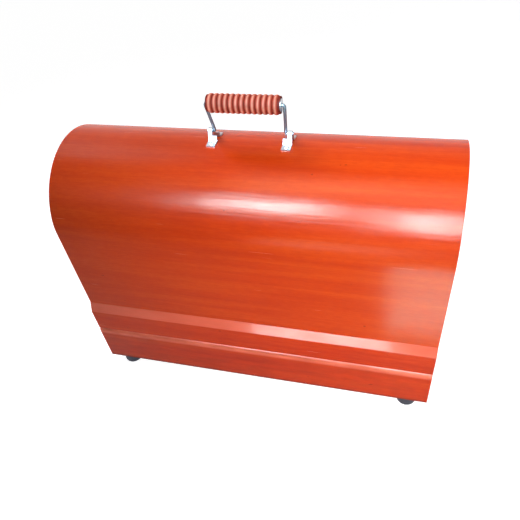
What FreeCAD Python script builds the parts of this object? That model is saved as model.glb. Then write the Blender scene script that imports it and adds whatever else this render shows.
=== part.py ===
import FreeCAD, Part
import Sketcher
import math
import os
from FreeCAD import Vector

# Bentwood carrying case for a portable sewing machine: a low base box on four feet
# and a tall lift-off cover with a bent arched shell, bevelled mouldings and a bail handle.
# Millimetres. +X runs along the case to the right, +Y to the back, +Z up.
# The origin is on the ground under the middle of the case.

doc = FreeCAD.newDocument("SewingCase")

# Driving dimensions, one named value each
SIZES = [
    ("case_length", 508.0),
    ("shell_width", 201.0),
    ("wall_height", 180.5),
    ("shoulder_radius", 76.0),
    ("crown_flatten", 7.2),
    ("shell_thick", 5.0),
    ("end_thick", 12.0),
    ("rail_height", 65.5),
    ("rail_proud", 7.5),
    ("rail_thick", 20.5),
    ("rail_round", 5.5),
    ("base_end_thick", 14.0),
    ("corner_lap", 8.0),
    ("floor_thick", 6.0),
    ("floor_lap", 8.0),
    ("machine_well", 372.0),
    ("divider_thick", 8.0),
    ("block_width", 28.0),
    ("bed_drop", 14.0),
    ("lid_thick", 6.0),
    ("lid_inset", 0.5),
    ("lid_gap", 1.5),
    ("lid_pivot_edge", 3.5),
    ("lid_pin_radius", 1.5),
    ("lid_pin_in_rail", 8.0),
    ("lid_pin_in_lid", 10.0),
    ("finger_radius", 13.0),
    ("run_clear", 0.05),
    ("seat_clear", 0.02),
    ("foot_height", 18.5),
    ("foot_radius", 14.0),
    ("foot_round", 5.0),
    ("foot_inset", 1.0),
    ("foot_from_end", 29.0),
    ("foot_well_radius", 6.0),
    ("foot_well_depth", 8.0),
    ("foot_screw_radius", 1.75),
    ("foot_screw_head", 4.0),
    ("foot_head_height", 2.0),
    ("foot_washer_thick", 1.0),
    ("foot_screw_bite", 22.0),
    ("moulding_height", 50.7),
    ("moulding_face", 36.5),
    ("moulding_proud", 6.5),
    ("moulding_edge", 0.6),
    ("moulding_round", 1.2),
    ("batten_thick", 5.5),
    ("batten_height", 18.0),
    ("grip_block_length", 122.0),
    ("grip_block_width", 44.0),
    ("grip_block_thick", 13.0),
    ("wire_radius", 2.0),
    ("pivot_rise", 11.4),
    ("pivot_half", 44.6),
    ("bail_reach", 39.6),
    ("bail_half", 48.0),
    ("bail_low_bend", 2.6),
    ("bail_high_bend", 3.0),
    ("bail_end", 54.0),
    ("bail_tilt", 13.0),
    ("grip_length", 87.8),
    ("grip_radius", 11.0),
    ("grip_rib_radius", 4.0),
    ("grip_pitch", 6.5),
    ("grip_ribs", 13.0),
    ("grip_core_drop", 1.4),
    ("ferrule_thick", 0.9),
    ("ferrule_radius", 7.0),
    ("strap_width", 11.0),
    ("strap_thick", 1.5),
    ("strap_inner", 41.8),
    ("strap_foot", 17.5),
    ("strap_knee", 6.5),
    ("strap_knee_bend", 2.5),
    ("strap_clear", 0.3),
    ("strap_slot_side", 2.9),
    ("strap_slot_drop", 4.2),
    ("strap_screw_at", 12.5),
    ("strap_screw_radius", 1.6),
    ("strap_screw_head", 3.4),
    ("strap_screw_dome", 2.2),
    ("strap_screw_length", 14.0),
    ("plate_thick", 2.0),
    ("plate_width", 9.0),
    ("plate_from_end", 8.0),
    ("plate_length", 46.0),
    ("plate_screw_at", 17.0),
    ("plate_screw_head", 3.0),
    ("plate_screw_radius", 1.5),
    ("plate_screw_length", 13.0),
    ("tongue_thick", 2.4),
    ("tongue_half", 10.0),
    ("tongue_rise", 13.0),
    ("tongue_chamfer", 3.0),
    ("tongue_headroom", 1.0),
    ("loose_clear", 0.5),
    ("pilot_spare", 0.5),
    ("cutter_spare", 1.0),
    ("hook_left", 5.0),
    ("hook_right", 9.0),
    ("hook_rise", 15.0),
    ("hook_notch_low", 5.0),
    ("hook_notch_tall", 5.0),
    ("hook_notch_depth", 7.0),
    ("lock_depth", 9.3),
    ("lock_half", 24.0),
    ("lock_height", 36.0),
    ("lock_wall", 1.2),
    ("lock_ear", 8.0),
    ("lock_ear_height", 16.0),
    ("lock_screw_radius", 1.3),
    ("lock_screw_head", 2.5),
    ("lock_screw_length", 8.0),
    ("bolt_gap", 0.4),
    ("bolt_nose_gap", 1.0),
    ("bolt_nose_length", 7.0),
    ("bolt_tail", 8.0),
    ("key_height", 22.0),
    ("key_radius", 2.6),
    ("key_slot_half", 1.1),
    ("key_slot_drop", 6.4),
    ("key_liner_wall", 1.0),
    ("key_pin_radius", 1.0),
    ("hinge_from_middle", 115.0),
    ("hinge_drop", 7.0),
    ("hinge_leaf_thick", 2.0),
    ("hinge_leaf_length", 40.0),
    ("hinge_leaf_height", 26.0),
    ("hinge_standoff", 8.0),
    ("hinge_barrel_radius", 4.75),
    ("hinge_knuckle", 14.0),
    ("hinge_side_knuckle", 8.0),
    ("hinge_side_gap", 0.3),
    ("hinge_axle_radius", 1.6),
    ("bed_pin_radius", 4.75),
    ("bed_collar_radius", 6.5),
    ("bed_collar_thick", 3.0),
    ("bed_pin_reach", 19.0),
    ("hinge_screw_at", 12.0),
    ("hinge_screw_low", 5.5),
]

sheet = doc.addObject("Spreadsheet::Sheet", "Sizes")
for row, (alias, value) in enumerate(SIZES, start=1):
    sheet.set("A%d" % row, alias)
    sheet.set("B%d" % row, str(value))
    sheet.setAlias("B%d" % row, alias)
doc.recompute()


class Size:
    """A length with its number and the sheet expression that it comes from."""

    def __init__(self, number, text):
        self.number = number
        self.text = text

    def combine(self, other, sign, number):
        return Size(number, "(%s %s %s)" % (self.text, sign, as_size(other).text))

    def __add__(self, other):
        return self.combine(other, "+", self.number + as_size(other).number)

    def __sub__(self, other):
        return self.combine(other, "-", self.number - as_size(other).number)

    def __mul__(self, other):
        return self.combine(other, "*", self.number * as_size(other).number)

    def __truediv__(self, other):
        return self.combine(other, "/", self.number / as_size(other).number)

    def __neg__(self):
        return Size(-self.number, "(0 - %s)" % self.text)


def as_size(value):
    return value if isinstance(value, Size) else Size(float(value), repr(value))


def root(value):
    return Size(math.sqrt(value.number), "sqrt(%s)" % value.text)


class Named:
    """The sheet's sizes by name."""


s = Named()
for alias, value in SIZES:
    setattr(s, alias, Size(float(sheet.get(alias)), "Sizes.%s" % alias))

NODES = []


def keep(obj, label):
    obj.Label = label
    NODES.append(obj)
    return obj


# Primitives and booleans bound to the sheet
def bind(obj, name, size):
    setattr(obj, name, size.number)
    obj.setExpression(name, size.text)


def bind_base(obj, x, y, z):
    for axis, size in (("x", as_size(x)), ("y", as_size(y)), ("z", as_size(z))):
        obj.setExpression("Placement.Base.%s" % axis, size.text)
        setattr(obj.Placement.Base, axis, size.number)


def block(name, low, high):
    obj = doc.addObject("Part::Box", name)
    low = [as_size(v) for v in low]
    high = [as_size(v) for v in high]
    bind(obj, "Length", high[0] - low[0])
    bind(obj, "Width", high[1] - low[1])
    bind(obj, "Height", high[2] - low[2])
    bind_base(obj, *low)
    return obj


ALONG = {
    "x": FreeCAD.Rotation(Vector(0, 1, 0), 90),
    "-x": FreeCAD.Rotation(Vector(0, 1, 0), -90),
    "y": FreeCAD.Rotation(Vector(1, 0, 0), -90),
    "-y": FreeCAD.Rotation(Vector(1, 0, 0), 90),
    "z": FreeCAD.Rotation(),
    "-z": FreeCAD.Rotation(Vector(1, 0, 0), 180),
}


def rod(name, start, radius, length, along):
    obj = doc.addObject("Part::Cylinder", name)
    bind(obj, "Radius", as_size(radius))
    bind(obj, "Height", as_size(length))
    obj.Placement = FreeCAD.Placement(Vector(), ALONG[along])
    bind_base(obj, *start)
    return obj


def taper(name, start, radius1, radius2, length, along):
    obj = doc.addObject("Part::Cone", name)
    bind(obj, "Radius1", as_size(radius1))
    bind(obj, "Radius2", as_size(radius2))
    bind(obj, "Height", as_size(length))
    obj.Placement = FreeCAD.Placement(Vector(), ALONG[along])
    bind_base(obj, *start)
    return obj


def join(name, shapes):
    obj = doc.addObject("Part::MultiFuse", name)
    obj.Shapes = shapes
    return obj


def cut(name, base, tools):
    obj = doc.addObject("Part::Cut", name)
    obj.Base = base
    obj.Tool = tools[0] if len(tools) == 1 else join(name + "_tools", tools)
    return obj


def common(name, first, second):
    obj = doc.addObject("Part::Common", name)
    obj.Base = first
    obj.Tool = second
    return obj


def group(name, shapes):
    obj = doc.addObject("Part::Compound", name)
    obj.Links = shapes
    return obj


# Sketched bodies
def body_with_sketch(name, role, start):
    body = doc.addObject("PartDesign::Body", name)
    sketch = body.newObject("Sketcher::SketchObject", name + "_sketch")
    plane = [f for f in body.Origin.OriginFeatures if f.Role == role][0]
    sketch.AttachmentSupport = [(plane, "")]
    sketch.MapMode = "FlatFace"
    start = as_size(start)
    sketch.AttachmentOffset = FreeCAD.Placement(Vector(0, 0, start.number), FreeCAD.Rotation())
    sketch.setExpression("AttachmentOffset.Base.z", start.text)
    return body, sketch


def fix_point(sketch, edge, point, x, y):
    """Hold a sketch point at a place measured from the sketch's origin."""
    for kind, axis_line, size in (("DistanceX", -2, as_size(x)), ("DistanceY", -1, as_size(y))):
        if abs(size.number) < 1e-9:
            sketch.addConstraint(Sketcher.Constraint("PointOnObject", edge, point, axis_line))
        elif size.number > 0:
            at = sketch.addConstraint(Sketcher.Constraint(kind, -1, 1, edge, point, size.number))
            sketch.setExpression("Constraints[%d]" % at, size.text)
        else:
            at = sketch.addConstraint(Sketcher.Constraint(kind, edge, point, -1, 1, -size.number))
            sketch.setExpression("Constraints[%d]" % at, (-size).text)


def polygon(sketch, points):
    """A closed outline of straight edges, every corner held by the sheet."""
    points = [(as_size(x), as_size(y)) for x, y in points]
    flat = [Vector(x.number, y.number, 0) for x, y in points]
    edges = []
    for index, start in enumerate(flat):
        end = flat[(index + 1) % len(flat)]
        edges.append(sketch.addGeometry(Part.LineSegment(start, end), False))
    for index, edge in enumerate(edges):
        after = edges[(index + 1) % len(edges)]
        sketch.addConstraint(Sketcher.Constraint("Coincident", edge, 2, after, 1))
    for edge, (x, y) in zip(edges, points):
        fix_point(sketch, edge, 1, x, y)
    return edges


def arch_edges(sketch, inset):
    """Wall, shoulder arc, crown arc, shoulder arc, wall, from right to left."""
    half = s.shell_width / 2 - inset
    small = s.shoulder_radius - inset
    large = CROWN_RADIUS - inset
    side = half - small
    low = COVER_LOW
    spring = SPRING
    crown_centre = CROWN_CENTRE
    turn = math.atan2(spring.number - crown_centre.number, side.number)
    right = Vector(side.number, spring.number, 0)
    left = Vector(-side.number, spring.number, 0)
    middle = Vector(0, crown_centre.number, 0)
    up = Vector(0, 0, 1)

    def arc(centre, radius, start, end):
        return sketch.addGeometry(Part.ArcOfCircle(Part.Circle(centre, up, radius.number), start, end), False)

    wall_r = sketch.addGeometry(Part.LineSegment(Vector(half.number, low.number, 0),
                                                 Vector(half.number, spring.number, 0)), False)
    shoulder_r = arc(right, small, 0, turn)
    crown = arc(middle, large, turn, math.pi - turn)
    shoulder_l = arc(left, small, math.pi - turn, math.pi)
    wall_l = sketch.addGeometry(Part.LineSegment(Vector(-half.number, spring.number, 0),
                                                 Vector(-half.number, low.number, 0)), False)
    for first, second in ((wall_r, shoulder_r), (shoulder_r, crown), (crown, shoulder_l), (shoulder_l, wall_l)):
        sketch.addConstraint(Sketcher.Constraint("Tangent", first, 2, second, 1))
    for edge in (shoulder_r, crown, shoulder_l):
        radius = large if edge == crown else small
        at = sketch.addConstraint(Sketcher.Constraint("Radius", edge, radius.number))
        sketch.setExpression("Constraints[%d]" % at, radius.text)
    fix_point(sketch, wall_r, 1, half, low)
    fix_point(sketch, wall_l, 2, -half, low)
    sketch.addConstraint(Sketcher.Constraint("PointOnObject", crown, 3, -2))
    at = sketch.addConstraint(Sketcher.Constraint("DistanceY", -1, 1, crown, 3, crown_centre.number))
    sketch.setExpression("Constraints[%d]" % at, crown_centre.text)
    return wall_r, wall_l


def close_edge(sketch, first, first_end, second, second_end):
    start = sketch.getPoint(first, first_end)
    end = sketch.getPoint(second, second_end)
    edge = sketch.addGeometry(Part.LineSegment(start, end), False)
    sketch.addConstraint(Sketcher.Constraint("Coincident", edge, 1, first, first_end))
    sketch.addConstraint(Sketcher.Constraint("Coincident", edge, 2, second, second_end))
    return edge


def pad(body, sketch, length):
    feature = body.newObject("PartDesign::Pad", body.Name + "_pad")
    feature.Profile = sketch
    bind(feature, "Length", as_size(length))
    sketch.Visibility = False
    return feature


def revolve(body, sketch, axis):
    feature = body.newObject("PartDesign::Revolution", body.Name + "_turned")
    feature.Profile = sketch
    feature.ReferenceAxis = (sketch, [axis])
    feature.Angle = 360
    return feature


def edges_where(feature, test):
    doc.recompute()
    names = []
    for index, edge in enumerate(feature.Shape.Edges, start=1):
        if test(edge):
            names.append("Edge%d" % index)
    return names


def round_edges(body, feature, names, radius):
    fillet = body.newObject("PartDesign::Fillet", body.Name + "_round")
    fillet.Base = (feature, names)
    bind(fillet, "Radius", as_size(radius))
    return fillet


def feature(name, shape):
    obj = doc.addObject("Part::Feature", name)
    obj.Shape = shape
    return obj


def bent_path(points, radii):
    """Straight runs through the points, joined by a tangent arc at each inner point."""
    edges = []
    here = points[0]
    for before, corner, after, radius in zip(points, points[1:], points[2:], radii):
        way_in = (corner - before).normalize()
        way_out = (after - corner).normalize()
        turn = way_in.getAngle(way_out)
        reach = radius * math.tan(turn / 2)
        start = corner - way_in * reach
        end = corner + way_out * reach
        to_centre = (way_out - way_in).normalize()
        centre = corner + to_centre * (radius / math.cos(turn / 2))
        middle = centre - to_centre * radius
        edges.append(Part.LineSegment(here, start).toShape())
        edges.append(Part.Arc(start, middle, end).toShape())
        here = end
    edges.append(Part.LineSegment(here, points[-1]).toShape())
    return Part.Wire(edges)


# Levels and planes that the pieces share
HALF_LENGTH = s.case_length / 2
HALF_SHELL = s.shell_width / 2
HALF_BASE = HALF_SHELL + s.rail_proud
RAIL_INNER = HALF_BASE - s.rail_thick
BASE_LOW = s.foot_height
RAIL_TOP = BASE_LOW + s.rail_height
COVER_LOW = RAIL_TOP
SPRING = COVER_LOW + s.wall_height
SIDE = HALF_SHELL - s.shoulder_radius
DOME_RISE = HALF_SHELL - s.crown_flatten
CROWN_TOP = SPRING + DOME_RISE
# The crown arc runs into both shoulder arcs without a corner, which sets its radius
CROWN_RADIUS = ((SIDE * SIDE + DOME_RISE * DOME_RISE - s.shoulder_radius * s.shoulder_radius)
                / ((DOME_RISE - s.shoulder_radius) * 2))
CROWN_CENTRE = CROWN_TOP - CROWN_RADIUS
END_INNER = HALF_LENGTH - s.base_end_thick
COVER_INNER = HALF_LENGTH - s.end_thick
PIVOT = CROWN_TOP + s.pivot_rise
FLOOR_TOP = BASE_LOW + s.floor_thick
DIVIDER = s.machine_well - END_INNER
BED_MIDDLE = (DIVIDER - END_INNER) / 2
LID_TOP = RAIL_TOP - s.lid_inset
LID_LOW = LID_TOP - s.lid_thick
LID_AXIS_X = END_INNER - s.lid_gap - s.lid_pivot_edge
LID_AXIS_Z = LID_TOP - s.lid_thick / 2
PLATE_MID = HALF_LENGTH - s.plate_from_end
HINGE_Y = RAIL_INNER - s.hinge_standoff
HINGE_Z = RAIL_TOP - s.hinge_drop


# Countersunk screw as one tapered head and a shank, head face at the start point
def flush_screw(name, start, along, head, radius, length, clear=0.0):
    head_radius = head + clear
    head_tall = head - radius
    cone = taper(name + "_head", start, head_radius, radius + clear, head_tall, along)
    shank = rod(name + "_shank", start, radius + clear, length, along)
    return join(name, [cone, shank])


# Base: front and back rails with a rounded top arris, rabbeted for the floor and the ends
def rail(name, side):
    body, sketch = body_with_sketch(name + "_body", "YZ_Plane", -HALF_LENGTH)
    outer = HALF_BASE * side
    inner = RAIL_INNER * side
    rabbet = (RAIL_INNER + s.floor_lap) * side
    polygon(sketch, [
        (outer, BASE_LOW),
        (outer, RAIL_TOP),
        (inner, RAIL_TOP),
        (inner, FLOOR_TOP),
        (rabbet, FLOOR_TOP),
        (rabbet, BASE_LOW),
    ])
    solid = pad(body, sketch, s.case_length)

    def top_outer(edge):
        box = edge.BoundBox
        flat = box.ZLength < 0.01 and box.YLength < 0.01
        return flat and abs(box.ZMax - RAIL_TOP.number) < 0.01 and abs(box.YMax - outer.number) < 0.01

    round_edges(body, solid, edges_where(solid, top_outer), s.rail_round)
    lap = (HALF_BASE - s.corner_lap) * side
    y_low, y_high = (inner, lap) if side > 0 else (lap, inner)
    tools = []
    for end in (-1, 1):
        x_far = HALF_LENGTH * end
        x_near = END_INNER * end
        x_low, x_high = (x_near, x_far) if end > 0 else (x_far, x_near)
        tools.append(block("%s_lap_%s" % (name, "right" if end > 0 else "left"),
                           (x_low, y_low, BASE_LOW), (x_high, y_high, RAIL_TOP)))
        foot_x = (HALF_LENGTH - s.foot_from_end) * end
        foot_y = (HALF_BASE - s.foot_inset - s.foot_radius) * side
        tools.append(rod("%s_foot_hole_%d" % (name, end + 1), (foot_x, foot_y, BASE_LOW),
                         s.foot_screw_radius + s.seat_clear, s.foot_screw_bite, "z"))
    tools.append(rod(name + "_lid_hole", (LID_AXIS_X, inner, LID_AXIS_Z),
                     s.lid_pin_radius + s.seat_clear, s.lid_pin_in_rail, "y" if side > 0 else "-y"))
    return body, tools


front_body, front_tools = rail("base_front_rail", -1)
keep(cut("base_front_rail_cut", front_body, front_tools), "base_front_rail")

back_body, back_tools = rail("base_back_rail", 1)
HINGE_SCREWS = []
for index, centre in enumerate((BED_MIDDLE - s.hinge_from_middle, BED_MIDDLE + s.hinge_from_middle)):
    mark = ("left", "right")[index]
    back_tools.append(block("hinge_recess_" + mark,
                            (centre - s.hinge_leaf_length / 2, RAIL_INNER, RAIL_TOP - s.hinge_leaf_height),
                            (centre + s.hinge_leaf_length / 2, RAIL_INNER + s.hinge_leaf_thick, RAIL_TOP)))
    for shift in (-1, 1):
        spot = (centre + s.hinge_screw_at * shift, RAIL_INNER,
                RAIL_TOP - s.hinge_leaf_height + s.hinge_screw_low)
        HINGE_SCREWS.append(spot)
        back_tools.append(rod("hinge_pilot_%s_%d" % (mark, shift + 1), spot,
                              s.plate_screw_radius + s.seat_clear, s.plate_screw_length, "y"))
keep(cut("base_back_rail_cut", back_body, back_tools), "base_back_rail")


# Base: end boards housed in the rails, let in on top for the steel plates
def base_end(name, end):
    lap = HALF_BASE - s.corner_lap
    board = block(name + "_board", (END_INNER if end > 0 else -HALF_LENGTH, -lap, BASE_LOW),
                  (HALF_LENGTH if end > 0 else -END_INNER, lap, RAIL_TOP))
    floor_far = END_INNER + s.floor_lap
    rabbet = block(name + "_rabbet", (END_INNER if end > 0 else -floor_far, -(RAIL_INNER + s.floor_lap), BASE_LOW),
                   (floor_far if end > 0 else -END_INNER, RAIL_INNER + s.floor_lap, FLOOR_TOP))
    middle = PLATE_MID * end
    seat = block(name + "_seat", (middle - s.plate_width / 2, -s.plate_length / 2, RAIL_TOP - s.plate_thick),
                 (middle + s.plate_width / 2, s.plate_length / 2, RAIL_TOP))
    tools = [rabbet, seat]
    for shift in (-1, 1):
        tools.append(rod("%s_pilot_%d" % (name, shift + 1), (middle, s.plate_screw_at * shift, RAIL_TOP),
                         s.plate_screw_radius + s.seat_clear, s.plate_screw_length, "-z"))
    return keep(cut(name + "_cut", board, tools), name)


base_end("base_left_end", -1)
base_end("base_right_end", 1)

# Base: thin floor panel let into the rabbets, flush underneath
floor_panel = block("base_floor_panel",
                    (-(END_INNER + s.floor_lap), -(RAIL_INNER + s.floor_lap), BASE_LOW),
                    (END_INNER + s.floor_lap, RAIL_INNER + s.floor_lap, FLOOR_TOP))
floor_tools = []
for end in (-1, 1):
    for side in (-1, 1):
        foot_x = (HALF_LENGTH - s.foot_from_end) * end
        foot_y = (HALF_BASE - s.foot_inset - s.foot_radius) * side
        floor_tools.append(rod("floor_foot_hole_%d_%d" % (end + 1, side + 1), (foot_x, foot_y, BASE_LOW),
                               s.foot_screw_radius + s.seat_clear, s.floor_thick, "z"))
keep(cut("base_floor_cut", floor_panel, floor_tools), "base_floor")

# Base: divider between the machine's well and the accessory compartment
keep(block("base_divider_board", (DIVIDER, -RAIL_INNER, FLOOR_TOP),
           (DIVIDER + s.divider_thick, RAIL_INNER, LID_LOW)), "base_divider")

# Base: four glue blocks in the well's corners, which also carry the machine's bed
blocks = []
for index, (x_low, x_high) in enumerate(((-END_INNER, s.block_width - END_INNER), (DIVIDER - s.block_width, DIVIDER))):
    for side in (-1, 1):
        y_far = RAIL_INNER * side
        y_near = (RAIL_INNER - s.block_width) * side
        y_low, y_high = (y_near, y_far) if side > 0 else (y_far, y_near)
        blocks.append(block("bed_block_%d_%d" % (index, side + 1), (x_low, y_low, FLOOR_TOP),
                            (x_high, y_high, RAIL_TOP - s.bed_drop)))
keep(group("bed_blocks_group", blocks), "base_bed_blocks")

# Accessory compartment: thin lid on two brass pins, with a finger notch in its free edge
LID_HALF = RAIL_INNER - s.lid_gap
lid_board = block("lid_board", (DIVIDER + s.lid_inset, -LID_HALF, LID_LOW),
                  (LID_AXIS_X + s.lid_pivot_edge, LID_HALF, LID_TOP))
lid_tools = [rod("lid_finger", (DIVIDER + s.lid_inset, 0, LID_LOW - s.cutter_spare), s.finger_radius,
                 s.lid_thick + s.cutter_spare * 2, "z")]
for side in (-1, 1):
    lid_tools.append(rod("lid_bore_%d" % (side + 1), (LID_AXIS_X, LID_HALF * side, LID_AXIS_Z),
                         s.lid_pin_radius + s.run_clear, s.lid_pin_in_lid, "-y" if side > 0 else "y"))
keep(cut("lid_cut", lid_board, lid_tools), "compartment_lid")
pins = []
for side in (-1, 1):
    start = (RAIL_INNER + s.lid_pin_in_rail) * side
    pins.append(rod("lid_pin_%d" % (side + 1), (LID_AXIS_X, start, LID_AXIS_Z), s.lid_pin_radius,
                    s.lid_pin_in_rail + s.lid_gap + s.lid_pin_in_lid - s.pilot_spare, "-y" if side > 0 else "y"))
keep(group("lid_pins_group", pins), "lid_pivot_pins")

# Feet: four round rubber bumpers, each hollowed for its screw head
FOOT_SPOTS = []
for end, end_name in ((-1, "left"), (1, "right")):
    for side, side_name in ((-1, "front"), (1, "back")):
        name = "foot_%s_%s" % (side_name, end_name)
        foot_x = (HALF_LENGTH - s.foot_from_end) * end
        foot_y = (HALF_BASE - s.foot_inset - s.foot_radius) * side
        FOOT_SPOTS.append((foot_x, foot_y))
        body, sketch = body_with_sketch(name + "_body", "XZ_Plane", 0)
        hole = s.foot_screw_radius + s.loose_clear
        polygon(sketch, [
            (hole, s.foot_height),
            (s.foot_radius, s.foot_height),
            (s.foot_radius, 0),
            (s.foot_well_radius, 0),
            (s.foot_well_radius, s.foot_well_depth),
            (hole, s.foot_well_depth),
        ])
        turned = revolve(body, sketch, "V_Axis")

        def low_rim(edge):
            box = edge.BoundBox
            return abs(box.ZMax) < 0.01 and abs(box.XLength - 2 * s.foot_radius.number) < 0.1

        round_edges(body, turned, edges_where(turned, low_rim), s.foot_round)
        bind_base(body, foot_x, foot_y, 0)
        keep(body, name)

foot_screws = []
for index, (foot_x, foot_y) in enumerate(FOOT_SPOTS):
    washer_low = s.foot_well_depth - s.foot_washer_thick
    head = rod("foot_head_%d" % index, (foot_x, foot_y, washer_low - s.foot_head_height),
               s.foot_screw_head, s.foot_head_height, "z")
    washer = rod("foot_washer_%d" % index, (foot_x, foot_y, washer_low),
                 s.foot_well_radius - s.loose_clear, s.foot_washer_thick, "z")
    shank = rod("foot_shank_%d" % index, (foot_x, foot_y, washer_low), s.foot_screw_radius,
                s.foot_height - washer_low + s.foot_screw_bite - s.pilot_spare, "z")
    foot_screws.append(join("foot_screw_%d" % index, [head, washer, shank]))
keep(group("foot_screws_group", foot_screws), "foot_screws")

# Steel plates let into the base's ends, each with a blade riveted through it:
# a plain tongue on the left, a notched hook for the lock on the right
def end_plate(name, end):
    middle = PLATE_MID * end
    plate = block(name + "_flat", (middle - s.plate_width / 2, -s.plate_length / 2, RAIL_TOP - s.plate_thick),
                  (middle + s.plate_width / 2, s.plate_length / 2, RAIL_TOP))
    holes = []
    for shift in (-1, 1):
        holes.append(flush_screw("%s_hole_%d" % (name, shift + 1), (middle, s.plate_screw_at * shift, RAIL_TOP),
                                 "-z", s.plate_screw_head, s.plate_screw_radius, s.plate_screw_length,
                                 s.seat_clear))
    left, right = (s.tongue_half, s.tongue_half) if end < 0 else (s.hook_left, s.hook_right)
    holes.append(block(name + "_rivet_slot", (middle - s.tongue_thick / 2, -left, RAIL_TOP - s.plate_thick),
                       (middle + s.tongue_thick / 2, right, RAIL_TOP)))
    return middle, keep(cut(name + "_drilled", plate, holes), name)


middle, plate = end_plate("base_tongue_plate", -1)
body, sketch = body_with_sketch("base_tongue_blade", "YZ_Plane", middle - s.tongue_thick / 2)
polygon(sketch, [
    (-s.tongue_half, RAIL_TOP - s.plate_thick),
    (s.tongue_half, RAIL_TOP - s.plate_thick),
    (s.tongue_half, RAIL_TOP + s.tongue_rise - s.tongue_chamfer),
    (s.tongue_half - s.tongue_chamfer, RAIL_TOP + s.tongue_rise),
    (s.tongue_chamfer - s.tongue_half, RAIL_TOP + s.tongue_rise),
    (-s.tongue_half, RAIL_TOP + s.tongue_rise - s.tongue_chamfer),
])
pad(body, sketch, s.tongue_thick)
keep(body, "base_tongue")

middle, plate = end_plate("base_hook_plate", 1)
body, sketch = body_with_sketch("base_lock_hook_blade", "YZ_Plane", middle - s.tongue_thick / 2)
polygon(sketch, [
    (-s.hook_left, RAIL_TOP - s.plate_thick),
    (s.hook_right, RAIL_TOP - s.plate_thick),
    (s.hook_right, RAIL_TOP + s.hook_rise - s.tongue_chamfer),
    (s.hook_right - s.tongue_chamfer, RAIL_TOP + s.hook_rise),
    (-s.hook_left, RAIL_TOP + s.hook_rise),
    (-s.hook_left, RAIL_TOP + s.hook_notch_low + s.hook_notch_tall),
    (s.hook_notch_depth - s.hook_left, RAIL_TOP + s.hook_notch_low + s.hook_notch_tall),
    (s.hook_notch_depth - s.hook_left, RAIL_TOP + s.hook_notch_low),
    (-s.hook_left, RAIL_TOP + s.hook_notch_low),
])
pad(body, sketch, s.tongue_thick)
keep(body, "base_lock_hook")

plate_screws = []
for end in (-1, 1):
    for shift in (-1, 1):
        plate_screws.append(flush_screw("plate_screw_%d_%d" % (end + 1, shift + 1),
                                        (PLATE_MID * end, s.plate_screw_at * shift, RAIL_TOP), "-z",
                                        s.plate_screw_head, s.plate_screw_radius,
                                        s.plate_screw_length - s.pilot_spare))
keep(group("plate_screws_group", plate_screws), "base_plate_screws")

# Machine hinges on the back rail: a fixed leaf with two knuckles, an axle and a swinging stud
leaves = []
axles = []
hinge_screws = []
for index, centre in enumerate((BED_MIDDLE - s.hinge_from_middle, BED_MIDDLE + s.hinge_from_middle)):
    mark = ("left", "right")[index]
    leaf_low = RAIL_TOP - s.hinge_leaf_height
    leaf = block("hinge_plate_" + mark, (centre - s.hinge_leaf_length / 2, RAIL_INNER, leaf_low),
                 (centre + s.hinge_leaf_length / 2, RAIL_INNER + s.hinge_leaf_thick, RAIL_TOP))
    inner = s.hinge_knuckle / 2 + s.hinge_side_gap
    outer = inner + s.hinge_side_knuckle
    knuckles = []
    for shift in (-1, 1):
        low, high = (inner, outer) if shift > 0 else (-outer, -inner)
        knuckles.append(rod("hinge_side_%s_%d" % (mark, shift + 1), (centre + low, HINGE_Y, HINGE_Z),
                            s.hinge_barrel_radius, high - low, "x"))
        knuckles.append(block("hinge_arm_%s_%d" % (mark, shift + 1),
                              (centre + low, HINGE_Y, HINGE_Z - s.hinge_barrel_radius),
                              (centre + high, RAIL_INNER, HINGE_Z)))
    leaf_solid = join("hinge_leaf_solid_" + mark, [leaf] + knuckles)
    bore = rod("hinge_leaf_bore_" + mark, (centre - outer, HINGE_Y, HINGE_Z),
               s.hinge_axle_radius + s.seat_clear, outer * 2, "x")
    holes = [bore]
    for shift in (-1, 1):
        spot = HINGE_SCREWS[index * 2 + (shift + 1) // 2]
        holes.append(flush_screw("hinge_hole_%s_%d" % (mark, shift + 1), spot, "y", s.plate_screw_head,
                                 s.plate_screw_radius, s.plate_screw_length, s.seat_clear))
        hinge_screws.append(flush_screw("hinge_screw_%s_%d" % (mark, shift + 1), spot, "y", s.plate_screw_head,
                                        s.plate_screw_radius, s.plate_screw_length - s.pilot_spare))
    leaves.append(cut("hinge_leaf_" + mark, leaf_solid, holes))
    axles.append(rod("hinge_axle_" + mark, (centre - outer, HINGE_Y, HINGE_Z), s.hinge_axle_radius, outer * 2, "x"))
    barrel = rod("stud_barrel_" + mark, (centre - s.hinge_knuckle / 2, HINGE_Y, HINGE_Z),
                 s.hinge_barrel_radius, s.hinge_knuckle, "x")
    collar_low = HINGE_Z - s.hinge_barrel_radius - s.bed_collar_thick
    collar = rod("stud_collar_" + mark, (centre, HINGE_Y, collar_low), s.bed_collar_radius,
                 s.hinge_barrel_radius + s.bed_collar_thick, "z")
    stud = rod("stud_pin_" + mark, (centre, HINGE_Y, collar_low), s.bed_pin_radius, s.bed_pin_reach, "-z")
    stud_solid = join("stud_solid_" + mark, [barrel, collar, stud])
    stud_bore = rod("stud_bore_" + mark, (centre - s.hinge_knuckle / 2, HINGE_Y, HINGE_Z),
                    s.hinge_axle_radius + s.run_clear, s.hinge_knuckle, "x")
    keep(cut("bed_stud_cut_" + mark, stud_solid, [stud_bore]), "bed_stud_" + mark)
keep(group("bed_hinge_leaves_group", leaves), "bed_hinge_leaves")
keep(group("bed_hinge_axles_group", axles), "bed_hinge_axles")
keep(group("bed_hinge_screws_group", hinge_screws), "bed_hinge_screws")


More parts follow.
